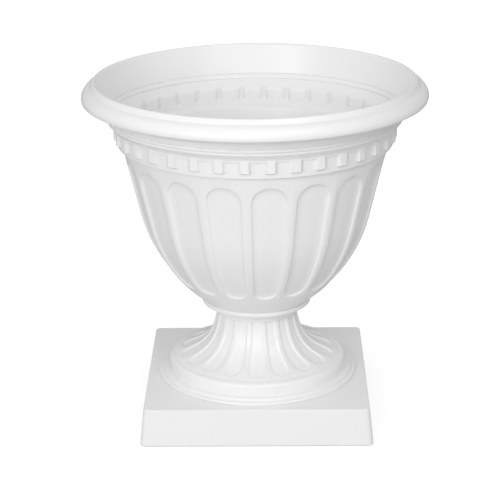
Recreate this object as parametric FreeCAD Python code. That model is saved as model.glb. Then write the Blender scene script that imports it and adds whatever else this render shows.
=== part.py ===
import FreeCAD, Part

import math
import os

# Classical garden urn of moulded plastic: a fluted bowl bolted to a fluted stem on a square plinth.
# Millimetres, +Z up. The origin is on the floor, in the middle of the plinth.

VECTOR = FreeCAD.Vector
ORIGIN = VECTOR(0, 0, 0)
UP = VECTOR(0, 0, 1)
FULL_TURN = 360.0

# Overall sizes
RIM_RADIUS = 200.0
HEIGHT = 403.0
SEAT_HEIGHT = 121.0
NECK_RADIUS = 49.3
PLINTH_SIDE = 262.0
PLINTH_HEIGHT = 44.0
WALL = 3.0
BOWL_HEIGHT = HEIGHT - SEAT_HEIGHT
BOWL_TURN = 6.5

# Bowl outside, from the foot up: shares of the rim radius and of the bowl's height above its seat
COVE_FOOT_SHARES = (0.2600, 0.0099)
COVE_MIDDLE_SHARES = (0.2710, 0.0255)
COVE_TOP_SHARES = (0.2930, 0.0352)
BEAD_BULGE_SHARES = (0.3130, 0.0430)
BODY_FOOT_SHARES = (0.3250, 0.0580)
BODY_TANGENT_SHARES = (0.6775, 0.4397)
BODY_TOP_SHARES = (0.7740, 0.7305)
LEDGE_EDGE_SHARES = (0.8000, 0.7369)
PANEL_TOP_SHARES = (0.8100, 0.7979)
FILLET_FOOT_SHARES = (0.8215, 0.7979)
FILLET_TOP_SHARES = (0.8215, 0.8156)
SLOPE_TOP_SHARES = (0.8570, 0.8426)
RIM_COVE_FOOT_SHARES = (0.8660, 0.8638)
RIM_COVE_MIDDLE_SHARES = (0.8710, 0.8848)
RIM_COVE_TOP_SHARES = (0.8920, 0.9025)
LIP_ROOT_SHARES = (0.9120, 0.9660)
LIP_HOLLOW_SHARES = ((0.9420, 0.9670), (0.9710, 0.9470), (0.9830, 0.9255))
LIP_EDGE_SHARES = (0.9920, 0.9195)
LIP_BULGE_SHARES = (1.0000, 0.9310)
LIP_SHOULDER_SHARES = (0.9860, 0.9580)
LIP_CREASE_SHARES = (0.9525, 0.9837)
CREST_OUTER_SHARES = (0.9465, 0.9943)
CREST_SHARES = (0.9320, 1.0)
CREST_INNER_SHARES = (0.9140, 0.9943)
WALL_TOP_SHARES = (0.9250, 0.9830)
CREST_FLAT = 0.6

# Ornament of the bowl
FLUTE_COUNT = 18
FLUTE_WIDTH_SHARE = 0.785
FLUTE_DEPTH = 2.2
FLUTE_FOOT_SHARE = 0.1880
FLUTE_TOP_SHARE = 0.6882
FLUTE_END_FULLNESS = 1.05
FLUTE_FOOT_FLATNESS = 1.45
DENTIL_COUNT = 36
DENTIL_WIDTH_SHARE = 0.36
DENTIL_HEIGHT = 16.0
DENTIL_POCKET_MARGIN = 1.8
DENTIL_POCKET_RISE = 4.0
GROOVE_DEPTH = 1.1
GROOVE_WIDTH = 1.5

# Floor, spigot and holes of the bowl
FLOOR_THICKNESS = 4.0
SOCKET_WALL = 4.3
SPIGOT_DEPTH = 12.0
SPIGOT_WALL = 4.0
SPIGOT_CLEARANCE = 0.4
DRAIN_COUNT = 3
DRAIN_RADIUS = 5.0
DRAIN_CIRCLE_SHARE = 0.78

# Stem and foot: shares of half the plinth's side, and of the stem's height between foot and seat
STEM_FLUTE_COUNT = 20
STEM_FLUTE_WIDTH_SHARE = 0.78
STEM_FLUTE_DEPTH = 1.8
STEM_FLUTE_TIP_SHARE = 0.725
STEM_FOOT_SHARES = (0.745, 0.0)
STEM_FLARE_SHARES = ((0.626, 0.095), (0.481, 0.310), (0.392, 0.670))
FOOT_RING_SHARES = (0.905, 0.865, 0.808)
FOOT_RING_HEIGHT = 3.4
RING_SHOULDER_SHARES = (0.33, 0.75)
DRUM_HEIGHT = 15.2
DRUM_ROUNDING = 7.0
DRUM_SHOULDER_SHARE = 0.75
HOLLOW_POINT_COUNT = 12

# Plinth
PLINTH_FLARE = 3.5
PLINTH_CORNER_RADIUS = 11.0
PLINTH_EDGE_RADIUS = 3.0
RIB_COUNT = 4
RIB_THICKNESS = 2.5
RIB_GAP = 8.0

# Fixings
BOLT_RADIUS = 3.9
BOLT_LENGTH = 40.0
BOLT_HEAD_ACROSS_FLATS = 13.0
BOLT_HEAD_HEIGHT = 5.3
BOLT_HEAD_SIDES = 6
BOLT_CHAMFER = 1.0
BOLT_HOLE_CLEARANCE = 0.6
THREAD_CLEARANCE = 0.3
WEB_THICKNESS = 4.0
WEB_GAP = 2.0
WEB_DRAIN_RADIUS = 7.0
BOLT_WASHER_RADIUS = 12.0
BOLT_WASHER_THICKNESS = 1.6
SEAL_RADIUS = 16.0
SEAL_THICKNESS = 3.0
CLAMP_WASHER_RADIUS = 15.0
CLAMP_WASHER_THICKNESS = 2.0
NUT_COLLAR_RADIUS = 6.0
NUT_COLLAR_GAP = 0.5
NUT_FOOT_RADIUS = 8.0
NUT_TOP_RADIUS = 6.5
NUT_HEIGHT = 9.0
WING_SPAN = 38.0
WING_ROUNDING = 4.5
WING_RISE = 7.0
WING_THICKNESS = 3.2

# Drain plugs
PLUG_CLEARANCE = 0.3
PLUG_FLANGE_RADIUS = 7.4
PLUG_FLANGE_THICKNESS = 2.5
PLUG_LENGTH = 9.0
PLUG_TAPER = 0.5
PLUG_TAB_HEIGHT = 7.0
PLUG_TAB_THICKNESS = 2.2
PLUG_TAB_ROUNDING = 4.2
PLUG_TAB_EYE_RADIUS = 2.0

# Sizes that follow from the others
PLINTH_HALF = PLINTH_SIDE / 2
SOCKET_RADIUS = NECK_RADIUS - STEM_FLUTE_DEPTH - SOCKET_WALL
SPIGOT_RADIUS = SOCKET_RADIUS - SPIGOT_CLEARANCE
SPIGOT_BORE = SPIGOT_RADIUS - SPIGOT_WALL
FLOOR_TOP = SEAT_HEIGHT + FLOOR_THICKNESS
WEB_TOP = SEAT_HEIGHT - SPIGOT_DEPTH - WEB_GAP
WEB_FOOT = WEB_TOP - WEB_THICKNESS
DRAIN_CIRCLE = SPIGOT_BORE * DRAIN_CIRCLE_SHARE
BOLT_HOLE_RADIUS = BOLT_RADIUS + BOLT_HOLE_CLEARANCE
THREAD_RADIUS = BOLT_RADIUS + THREAD_CLEARANCE
FOOT_TOP = PLINTH_HEIGHT + 2 * FOOT_RING_HEIGHT + DRUM_HEIGHT
CLAMP_FOOT = FLOOR_TOP + SEAL_THICKNESS
NUT_FOOT = CLAMP_FOOT + CLAMP_WASHER_THICKNESS


def bowl_point(shares):
    """Radius and height of a point on the bowl from its two shares."""
    return (shares[0] * RIM_RADIUS, SEAT_HEIGHT + shares[1] * BOWL_HEIGHT)


def stem_point(shares):
    """Radius and height of a point on the stem from its two shares."""
    return (shares[0] * PLINTH_HALF, FOOT_TOP + shares[1] * (SEAT_HEIGHT - FOOT_TOP))


def at(point):
    """A profile point, radius and height, as a vector in the plane y = 0."""
    return VECTOR(point[0], 0, point[1])


def chain(points):
    """Straight edges through profile points."""
    return [Part.makeLine(at(a), at(b)) for a, b in zip(points[:-1], points[1:])]


def arc(start, middle, end):
    """A round edge through three profile points."""
    return Part.Arc(at(start), at(middle), at(end)).toShape()


def smooth(points):
    """A smooth curve through profile points."""
    curve = Part.BSplineCurve()
    curve.interpolate([at(point) for point in points])
    return curve


def inset_smooth(points, distance, count):
    """Evenly spaced points of the smooth curve through the points, moved inwards across the curve."""
    moved = []
    curve = smooth(points)
    for place in curve.discretize(count):
        along = curve.tangent(curve.parameter(place))[0]
        moved.append((place.x - along.z * distance, place.z + along.x * distance))
    return moved


def inset_chain(points, distance):
    """A chain of profile points moved inwards, with its corners kept sharp."""
    lines = []
    for (r0, z0), (r1, z1) in zip(points[:-1], points[1:]):
        length = math.hypot(r1 - r0, z1 - z0)
        across = (-(z1 - z0) / length * distance, (r1 - r0) / length * distance)
        lines.append(((r0 + across[0], z0 + across[1]), (r1 + across[0], z1 + across[1])))
    moved = [lines[0][0]]
    for (a, b), (c, d) in zip(lines[:-1], lines[1:]):
        ab = (b[0] - a[0], b[1] - a[1])
        cd = (d[0] - c[0], d[1] - c[1])
        cross = ab[0] * cd[1] - ab[1] * cd[0]
        share = ((c[0] - a[0]) * cd[1] - (c[1] - a[1]) * cd[0]) / cross
        moved.append((a[0] + share * ab[0], a[1] + share * ab[1]))
    moved.append(lines[-1][1])
    return moved


def turned(edges, angle=FULL_TURN):
    """The solid swept by a closed profile about the upright axis."""
    face = Part.Face(Part.Wire(edges))
    return face.revolve(ORIGIN, UP, angle)


def ring_of(shape, count, first_angle=0.0):
    """Copies of a shape, evenly spaced about the upright axis."""
    copies = []
    for index in range(count):
        copy = shape.copy()
        copy.rotate(ORIGIN, UP, first_angle + index * FULL_TURN / count)
        copies.append(copy)
    return Part.makeCompound(copies)


def rod(radius, foot, top, x=0.0, y=0.0):
    """An upright cylinder between two heights."""
    return Part.makeCylinder(radius, top - foot, VECTOR(x, y, foot), UP)


def plain_washer(hole_radius, radius, foot, thickness):
    """A flat round washer on the bolt's axis."""
    disc = rod(radius, foot, foot + thickness)
    return disc.cut(rod(hole_radius, foot, foot + thickness))


def stadium(start, end, radius):
    """An upright face in the plane y = 0: two round ends joined by straight sides."""
    length = math.hypot(end[0] - start[0], end[1] - start[1])
    along = ((end[0] - start[0]) / length * radius, (end[1] - start[1]) / length * radius)
    left = (-along[1], along[0])
    start_left = (start[0] + left[0], start[1] + left[1])
    start_right = (start[0] - left[0], start[1] - left[1])
    end_left = (end[0] + left[0], end[1] + left[1])
    end_right = (end[0] - left[0], end[1] - left[1])
    start_tip = (start[0] - along[0], start[1] - along[1])
    end_tip = (end[0] + along[0], end[1] + along[1])
    edges = chain([start_right, end_right])
    edges.append(arc(end_right, end_tip, end_left))
    edges += chain([end_left, start_left])
    edges.append(arc(start_left, start_tip, start_right))
    return Part.Face(Part.Wire(edges))


def plate(face, thickness):
    """An upright face thickened equally to both sides."""
    solid = face.extrude(VECTOR(0, thickness, 0))
    solid.translate(VECTOR(0, -thickness / 2, 0))
    return solid


def groove(point, following):
    """A narrow vee cut into a profile at a point, running on towards the following point."""
    length = math.hypot(following[0] - point[0], following[1] - point[1])
    along = ((following[0] - point[0]) / length, (following[1] - point[1]) / length)
    middle = (point[0] + along[0] * GROOVE_WIDTH / 2, point[1] + along[1] * GROOVE_WIDTH / 2)
    bottom = (middle[0] - along[1] * GROOVE_DEPTH, middle[1] + along[0] * GROOVE_DEPTH)
    end = (point[0] + along[0] * GROOVE_WIDTH, point[1] + along[1] * GROOVE_WIDTH)
    return bottom, end


def body_profile(depth):
    """Three edges of the bowl's body, pared down by a depth: belly, upper belly and straight wall.

    The belly is one arc that leaves the wall smoothly and ends at the bead; it is parted at the flutes' foot.
    """
    foot = bowl_point(BODY_FOOT_SHARES)
    tangent = bowl_point(BODY_TANGENT_SHARES)
    top = bowl_point(BODY_TOP_SHARES)
    length = math.hypot(top[0] - tangent[0], top[1] - tangent[1])
    inward = (-(top[1] - tangent[1]) / length, (top[0] - tangent[0]) / length)
    reach = (foot[0] - tangent[0], foot[1] - tangent[1])
    radius = (reach[0] ** 2 + reach[1] ** 2) / 2 / (reach[0] * inward[0] + reach[1] * inward[1])
    centre = (tangent[0] + inward[0] * radius, tangent[1] + inward[1] * radius)

    def on_belly(angle):
        return (centre[0] + (radius - depth) * math.cos(angle), centre[1] + (radius - depth) * math.sin(angle))

    parting_height = SEAT_HEIGHT + BOWL_HEIGHT * FLUTE_FOOT_SHARE
    start = math.atan2(foot[1] - centre[1], foot[0] - centre[0])
    parting = math.asin((parting_height - centre[1]) / radius)
    end = math.atan2(tangent[1] - centre[1], tangent[0] - centre[0])
    wall_foot = on_belly(end)
    wall_top = (top[0] + inward[0] * depth, top[1] + inward[1] * depth)
    edges = [arc(on_belly(start), on_belly((start + parting) / 2), on_belly(parting)),
             arc(on_belly(parting), on_belly((parting + end) / 2), wall_foot)]
    edges += chain([wall_foot, wall_top])
    return edges, on_belly(start), on_belly(parting), wall_top


def frieze_points():
    """Corners of the frieze and of the slope above it, from the body up to the rim's cove."""
    names = (BODY_TOP_SHARES, LEDGE_EDGE_SHARES, PANEL_TOP_SHARES, FILLET_FOOT_SHARES, FILLET_TOP_SHARES,
             SLOPE_TOP_SHARES, RIM_COVE_FOOT_SHARES)
    return [bowl_point(shares) for shares in names]


def bowl_outside():
    """The bowl as if it were filled: spigot, bead, body, frieze, cove and rolled lip."""
    spigot_foot = SEAT_HEIGHT - SPIGOT_DEPTH
    cove_foot = bowl_point(COVE_FOOT_SHARES)
    cove_top = bowl_point(COVE_TOP_SHARES)
    body, body_foot, _, _ = body_profile(0.0)
    frieze = frieze_points()
    slope_top = frieze[-2]
    rim_cove_foot = frieze[-1]
    lower_groove = groove(slope_top, rim_cove_foot)
    share = GROOVE_WIDTH / math.dist(slope_top, rim_cove_foot)
    bead_top = (rim_cove_foot[0] + share * (slope_top[0] - rim_cove_foot[0]),
                rim_cove_foot[1] + share * (slope_top[1] - rim_cove_foot[1]))
    upper_groove = groove(bead_top, rim_cove_foot)
    rim_cove_top = bowl_point(RIM_COVE_TOP_SHARES)
    lip_root = bowl_point(LIP_ROOT_SHARES)
    hollow = [bowl_point(shares) for shares in LIP_HOLLOW_SHARES]
    lip_edge = bowl_point(LIP_EDGE_SHARES)
    lip_bulge = bowl_point(LIP_BULGE_SHARES)
    lip_crease = bowl_point(LIP_CREASE_SHARES)
    crest = bowl_point(CREST_SHARES)

    edges = chain([(0, SEAT_HEIGHT), (SPIGOT_BORE, SEAT_HEIGHT), (SPIGOT_BORE, spigot_foot),
                   (SPIGOT_RADIUS, spigot_foot), (SPIGOT_RADIUS, SEAT_HEIGHT),
                   (cove_foot[0], SEAT_HEIGHT), cove_foot])
    edges.append(arc(cove_foot, bowl_point(COVE_MIDDLE_SHARES), cove_top))
    edges.append(arc(cove_top, bowl_point(BEAD_BULGE_SHARES), body_foot))
    edges += body
    edges += chain(frieze[:-1] + [lower_groove[0], lower_groove[1], bead_top,
                                  upper_groove[0], rim_cove_foot])
    edges.append(arc(rim_cove_foot, bowl_point(RIM_COVE_MIDDLE_SHARES), rim_cove_top))
    edges += chain([rim_cove_top, lip_root, hollow[0]])
    edges.append(arc(hollow[0], hollow[1], hollow[2]))
    edges += chain([hollow[2], lip_edge, lip_bulge])
    edges.append(arc(lip_bulge, bowl_point(LIP_SHOULDER_SHARES), lip_crease))
    edges += chain([lip_crease, bowl_point(CREST_OUTER_SHARES), crest, (0, HEIGHT), (0, SEAT_HEIGHT)])
    return turned(edges)


def bowl_inside():
    """The space inside the bowl, one wall in from the bottom of the flutes and from the mouldings."""
    body, body_foot, _, body_top = body_profile(WALL + FLUTE_DEPTH)
    mouldings = frieze_points() + [bowl_point(RIM_COVE_MIDDLE_SHARES), bowl_point(RIM_COVE_TOP_SHARES),
                                   bowl_point(WALL_TOP_SHARES)]
    wall = inset_chain(mouldings, WALL)
    floor_edge = bowl_point(COVE_FOOT_SHARES)[0] - WALL
    mouth = (bowl_point(CREST_SHARES)[0] - CREST_FLAT, HEIGHT)
    start = (0, FLOOR_TOP)
    above = HEIGHT + WALL
    edges = chain([start, (floor_edge, FLOOR_TOP), body_foot])
    edges += body
    edges += chain([body_top] + wall[1:])
    edges += chain([wall[-1], bowl_point(CREST_INNER_SHARES), mouth, (mouth[0], above), (0, above), start])
    return turned(edges)


def flute_cutters():
    """What is cut from the bowl's body to leave the flutes: radial sides, round ends, an even depth."""
    width_angle = FULL_TURN / FLUTE_COUNT * FLUTE_WIDTH_SHARE
    half_sine = math.sin(math.radians(width_angle / 2))
    body, body_foot, flute_foot, body_top = body_profile(FLUTE_DEPTH)
    rim = bowl_point(LIP_BULGE_SHARES)
    edges = body + chain([body_top, (rim[0], body_top[1]), (rim[0], body_foot[1]), body_foot])
    wedge = turned(edges, width_angle)
    wedge.rotate(ORIGIN, UP, -(FULL_TURN / 2 + width_angle) / 2)

    top = SEAT_HEIGHT + BOWL_HEIGHT * FLUTE_TOP_SHARE
    wall_top = bowl_point(BODY_TOP_SHARES)
    top_half = wall_top[0] * half_sine * FLUTE_END_FULLNESS
    shoulder = top - top_half
    foot_half = flute_foot[0] * half_sine * FLUTE_END_FULLNESS
    foot = flute_foot[1] - foot_half / FLUTE_FOOT_FLATNESS
    outline = [arc((top_half, shoulder), (0, top), (-top_half, shoulder))]
    outline += chain([(-top_half, shoulder), (-top_half, flute_foot[1]), (-foot_half, flute_foot[1])])
    outline.append(arc((-foot_half, flute_foot[1]), (0, foot), (foot_half, flute_foot[1])))
    outline += chain([(foot_half, flute_foot[1]), (top_half, flute_foot[1]), (top_half, shoulder)])
    face = Part.Face(Part.Wire(outline))
    prism = face.extrude(VECTOR(0, -rim[0], 0))
    return ring_of(wedge.common(prism), FLUTE_COUNT)


def frieze_blocks(profile, width):
    """One small block of a given width at every dentil, from a closed profile in the plane y = 0."""
    angle = math.degrees(width / profile[0][0])
    block = turned(chain(profile + profile[:1]), angle)
    block.rotate(ORIGIN, UP, -angle / 2 - FULL_TURN / 4)
    return ring_of(block, DENTIL_COUNT)


def dentil_sizes():
    """Width of a dentil, the height of its foot, and the panel's radius there."""
    panel_top = bowl_point(PANEL_TOP_SHARES)
    fillet_top = bowl_point(FILLET_TOP_SHARES)
    width = 2 * math.pi * fillet_top[0] / DENTIL_COUNT * DENTIL_WIDTH_SHARE
    return width, fillet_top[1] - DENTIL_HEIGHT, panel_top[0]


def dentils():
    """Square blocks standing out of the frieze, flush with the fillet above them."""
    width, foot, panel = dentil_sizes()
    face = bowl_point(FILLET_FOOT_SHARES)
    head = (face[1] + bowl_point(FILLET_TOP_SHARES)[1]) / 2
    root = panel - WALL / 2
    return frieze_blocks([(face[0], foot), (face[0], head), (root, head), (root, foot)], width)


def dentil_pockets():
    """Hollows behind the dentils, so that the wall is as thick there as elsewhere."""
    width, foot, panel = dentil_sizes()
    face = bowl_point(FILLET_FOOT_SHARES)
    depth = face[0] - WALL
    head = face[1] + DENTIL_POCKET_RISE
    root = panel - 2 * WALL
    profile = [(depth, foot + WALL / 2), (depth, head), (root, head), (root, foot + WALL / 2)]
    return frieze_blocks(profile, width - 2 * DENTIL_POCKET_MARGIN)


def drain_places():
    """Middle of each drain hole, about the bolt."""
    places = []
    for index in range(DRAIN_COUNT):
        angle = 2 * math.pi * index / DRAIN_COUNT
        places.append((DRAIN_CIRCLE * math.sin(angle), -DRAIN_CIRCLE * math.cos(angle)))
    return places


def bowl():
    """Fluted shell with its floor pierced for the bolt and for the drains."""
    outside = bowl_outside().cut(flute_cutters())
    outside = outside.fuse(dentils())
    inside = bowl_inside().fuse(dentil_pockets())
    shell = outside.cut(inside)
    holes = [rod(BOLT_HOLE_RADIUS, SEAT_HEIGHT - SPIGOT_DEPTH, FLOOR_TOP)]
    for x, y in drain_places():
        holes.append(rod(DRAIN_RADIUS, SEAT_HEIGHT - SPIGOT_DEPTH, FLOOR_TOP, x, y))
    return shell.cut(Part.makeCompound(holes))


def rounded_square(half, height, corner):
    """A closed outline: a square about the axis with round corners."""
    inner = half - corner
    middle = inner + corner * math.sqrt(2) / 2
    edges = []
    for index in range(4):
        side = Part.makeLine(VECTOR(-inner, -half, height), VECTOR(inner, -half, height))
        turn = Part.Arc(VECTOR(inner, -half, height), VECTOR(middle, -middle, height),
                        VECTOR(half, -inner, height)).toShape()
        for edge in (side, turn):
            edge.rotate(ORIGIN, UP, index * FULL_TURN / 4)
            edges.append(edge)
    return Part.Wire(edges)


def plinth_block(shrink, foot, top):
    """The plinth's slightly flared square block, drawn in on all sides by a shrink."""
    corner = PLINTH_CORNER_RADIUS - shrink / 2
    low = rounded_square(PLINTH_HALF + PLINTH_FLARE - shrink, foot, corner)
    high = rounded_square(PLINTH_HALF - shrink, top, corner)
    return Part.makeLoft([low, high], True, True)


def plinth_outside():
    """The plinth with its upper edges softened."""
    block = plinth_block(0.0, 0.0, PLINTH_HEIGHT)
    edges = [edge for edge in block.Edges if edge.BoundBox.ZMin > PLINTH_HEIGHT / 2]
    return block.makeFillet(PLINTH_EDGE_RADIUS, edges)


def stem_points(depth):
    """Points of the stem's flare pared down by a depth: the foot's edge, the end of its slope, then the neck."""
    points = [stem_point(STEM_FOOT_SHARES)] + [stem_point(shares) for shares in STEM_FLARE_SHARES]
    points.append((NECK_RADIUS, SEAT_HEIGHT))
    return inset_chain(points, depth)


def stem_edges(points):
    """Edges through the stem's points: a straight slope and a smooth flare."""
    return chain(points[:2]) + [smooth(points[1:]).toShape()]


def foot_steps():
    """Edges of the two rings and the drum between the plinth and the stem."""
    ring_radii = [share * PLINTH_HALF for share in FOOT_RING_SHARES]
    inset, rise = [share * FOOT_RING_HEIGHT for share in RING_SHOULDER_SHARES]
    foot = PLINTH_HEIGHT
    edges = []
    for outer, inner in zip(ring_radii[:-1], ring_radii[1:]):
        top = foot + FOOT_RING_HEIGHT
        edges += chain([(outer, foot), (outer - inset, foot + rise), (inner, top)])
        foot = top
    stem_foot = stem_point(STEM_FOOT_SHARES)
    drum_side = (ring_radii[-1], foot + DRUM_HEIGHT - DRUM_ROUNDING)
    drum_shoulder = (stem_foot[0] + DRUM_SHOULDER_SHARE * (drum_side[0] - stem_foot[0]),
                     drum_side[1] + DRUM_SHOULDER_SHARE * (stem_foot[1] - drum_side[1]))
    edges += chain([(ring_radii[-1], foot), drum_side])
    edges.append(arc(drum_side, drum_shoulder, stem_foot))
    return edges


def stem_outside():
    """The foot's mouldings and the flared stem, filled, before the flutes are cut."""
    outer = (FOOT_RING_SHARES[0] * PLINTH_HALF, PLINTH_HEIGHT)
    sunk = PLINTH_HEIGHT - WALL / 2
    edges = chain([(0, sunk), (outer[0], sunk), outer])
    edges += foot_steps()
    edges += stem_edges(stem_points(0.0))
    edges += chain([(NECK_RADIUS, SEAT_HEIGHT), (0, SEAT_HEIGHT), (0, sunk)])
    return turned(edges)


def stem_flute_cutters():
    """What is cut from the stem to leave the flutes: radial sides, a round outer end, an even depth."""
    width_angle = FULL_TURN / STEM_FLUTE_COUNT * STEM_FLUTE_WIDTH_SHARE
    points = stem_points(STEM_FLUTE_DEPTH)
    neck = points[-1][0]
    outer = PLINTH_HALF
    edges = stem_edges(points)
    edges += chain([points[-1], (neck, HEIGHT), (outer, HEIGHT), (outer, points[0][1]), points[0]])
    wedge = turned(edges, width_angle)
    wedge.rotate(ORIGIN, UP, -(FULL_TURN / 2 + width_angle) / 2)

    half_sine = math.sin(math.radians(width_angle / 2))
    tip = STEM_FLUTE_TIP_SHARE * PLINTH_HALF
    round_radius = tip * half_sine / (1 + half_sine) * FLUTE_END_FULLNESS
    centre = VECTOR(0, round_radius - tip, PLINTH_HEIGHT)
    end = Part.makeCylinder(round_radius, HEIGHT, centre, UP)
    rest = Part.makeBox(2 * outer, outer, HEIGHT, VECTOR(-outer, centre.y, PLINTH_HEIGHT))
    return ring_of(wedge.common(end.fuse(rest)), STEM_FLUTE_COUNT)


def pedestal_hollow():
    """Open space under the plinth and up inside the stem, as far as the web, left by the ribs."""
    space = plinth_block(WALL, 0.0, PLINTH_HEIGHT - WALL)
    stem = inset_smooth(stem_points(0.0), STEM_FLUTE_DEPTH + WALL, HOLLOW_POINT_COUNT)
    under_web = [point for point in stem if point[1] < WEB_FOOT]
    last = under_web[-1]
    drum = FOOT_RING_SHARES[-1] * PLINTH_HALF - WALL
    drum_top = stem[0][1]
    low = PLINTH_HEIGHT - 2 * WALL
    edges = chain([(0, low), (drum, low), (drum, drum_top - WALL)] + under_web[:-1]
                  + [(last[0], WEB_FOOT), (0, WEB_FOOT), (0, low)])
    space = space.fuse(turned(edges))
    rib_length = 2 * PLINTH_SIDE
    bars = []
    for index in range(RIB_COUNT):
        bar = Part.makeBox(rib_length, RIB_THICKNESS, PLINTH_HEIGHT,
                           VECTOR(-rib_length / 2, -RIB_THICKNESS / 2, RIB_GAP))
        bar.rotate(ORIGIN, UP, index * FULL_TURN / 2 / RIB_COUNT)
        bars.append(bar)
    ribs = bars[0].fuse(bars[1:])
    ribs = ribs.cut(rod(drum - WALL, 0.0, HEIGHT))
    return space.cut(ribs)


def pedestal():
    """Plinth, foot mouldings and fluted stem in one hollow moulding, with a socket and a web on top."""
    stem = stem_outside().cut(stem_flute_cutters())
    solid = plinth_outside().fuse(stem)
    solid = solid.cut(pedestal_hollow())
    holes = [rod(SOCKET_RADIUS, WEB_TOP, SEAT_HEIGHT), rod(BOLT_HOLE_RADIUS, WEB_FOOT, WEB_TOP)]
    for x, y in drain_places():
        holes.append(rod(WEB_DRAIN_RADIUS, WEB_FOOT, WEB_TOP, x, y))
    return solid.cut(Part.makeCompound(holes))


def tie_bolt():
    """Hexagon bolt, head down under the web; its thread is drawn as a plain rod."""
    seat = WEB_FOOT - BOLT_WASHER_THICKNESS
    corner = BOLT_HEAD_ACROSS_FLATS / math.sqrt(3)
    corners = []
    for index in range(BOLT_HEAD_SIDES + 1):
        angle = 2 * math.pi * index / BOLT_HEAD_SIDES
        corners.append(VECTOR(corner * math.cos(angle), corner * math.sin(angle), seat))
    head = Part.Face(Part.makePolygon(corners)).extrude(VECTOR(0, 0, -BOLT_HEAD_HEIGHT))
    tip = BOLT_RADIUS - BOLT_CHAMFER
    end = seat + BOLT_LENGTH
    sunk = seat - BOLT_HEAD_HEIGHT / 2
    shank = turned(chain([(0, sunk), (BOLT_RADIUS, sunk), (BOLT_RADIUS, end - BOLT_CHAMFER), (tip, end),
                          (0, end), (0, sunk)]))
    return head.fuse(shank).removeSplitter()


def bolt_washer():
    """Washer that spreads the bolt head's pull on the web."""
    return plain_washer(BOLT_HOLE_RADIUS, BOLT_WASHER_RADIUS, WEB_FOOT - BOLT_WASHER_THICKNESS,
                        BOLT_WASHER_THICKNESS)


def seal_washer():
    """Soft washer on the bowl's floor that keeps the bolt hole tight."""
    return plain_washer(BOLT_HOLE_RADIUS, SEAL_RADIUS, FLOOR_TOP, SEAL_THICKNESS)


def clamp_washer():
    """Wide washer that the wing nut carries on its collar."""
    return plain_washer(NUT_COLLAR_RADIUS + THREAD_CLEARANCE, CLAMP_WASHER_RADIUS, CLAMP_FOOT,
                        CLAMP_WASHER_THICKNESS)


def wing_nut():
    """Tapered nut with a collar below and two round-ended wings."""
    collar = rod(NUT_COLLAR_RADIUS, CLAMP_FOOT + NUT_COLLAR_GAP, NUT_FOOT + NUT_HEIGHT / 2)
    boss = Part.makeCone(NUT_FOOT_RADIUS, NUT_TOP_RADIUS, NUT_HEIGHT, VECTOR(0, 0, NUT_FOOT), UP)
    low = NUT_FOOT + NUT_HEIGHT / 2
    reach = WING_SPAN / 2 - WING_ROUNDING
    wings = []
    for side in (1, -1):
        face = stadium((0, low), (side * reach, low + WING_RISE), WING_ROUNDING)
        wings.append(plate(face, WING_THICKNESS))
    nut = boss.fuse([collar] + wings)
    bore = rod(THREAD_RADIUS, CLAMP_FOOT, NUT_FOOT + NUT_HEIGHT + WING_RISE)
    return nut.cut(bore).removeSplitter()


def drain_plug(x, y):
    """Push-in bung with a flange and an eyed tab to pull it by."""
    shank = DRAIN_RADIUS - PLUG_CLEARANCE
    flange_top = FLOOR_TOP + PLUG_FLANGE_THICKNESS
    foot = FLOOR_TOP - PLUG_LENGTH
    body = turned(chain([(0, foot), (shank - PLUG_TAPER, foot), (shank, SEAT_HEIGHT), (shank, FLOOR_TOP),
                         (PLUG_FLANGE_RADIUS, FLOOR_TOP), (PLUG_FLANGE_RADIUS, flange_top), (0, flange_top),
                         (0, foot)]))
    eye_height = flange_top + PLUG_TAB_HEIGHT - PLUG_TAB_ROUNDING
    tab = plate(stadium((0, FLOOR_TOP + PLUG_TAB_ROUNDING), (0, eye_height), PLUG_TAB_ROUNDING),
                PLUG_TAB_THICKNESS)
    eye = Part.makeCylinder(PLUG_TAB_EYE_RADIUS, 2 * PLUG_TAB_THICKNESS,
                            VECTOR(0, -PLUG_TAB_THICKNESS, eye_height), VECTOR(0, 1, 0))
    plug = body.fuse(tab.cut(eye)).removeSplitter()
    plug.translate(VECTOR(x, y, 0))
    return plug


def turned_with_bowl(shape):
    """A piece of the bowl, turned to where the bowl happens to stand on its round seat."""
    shape.rotate(ORIGIN, UP, BOWL_TURN)
    return shape


pieces = {
    "pedestal": pedestal(),
    "tie_bolt": tie_bolt(),
    "bolt_washer": bolt_washer(),
    "bowl": turned_with_bowl(bowl()),
    "seal_washer": seal_washer(),
    "clamp_washer": clamp_washer(),
    "wing_nut": turned_with_bowl(wing_nut()),
}
for number, (drain_x, drain_y) in enumerate(drain_places(), start=1):
    pieces["drain_plug_%d" % number] = turned_with_bowl(drain_plug(drain_x, drain_y))

os.makedirs("parts", exist_ok=True)
for name, shape in pieces.items():
    solid = shape.Solids[0]
    solid.exportStep("parts/%s.step" % name)
    print(name, len(shape.Solids), shape.isValid(), len(solid.Faces))
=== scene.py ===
import math

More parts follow.
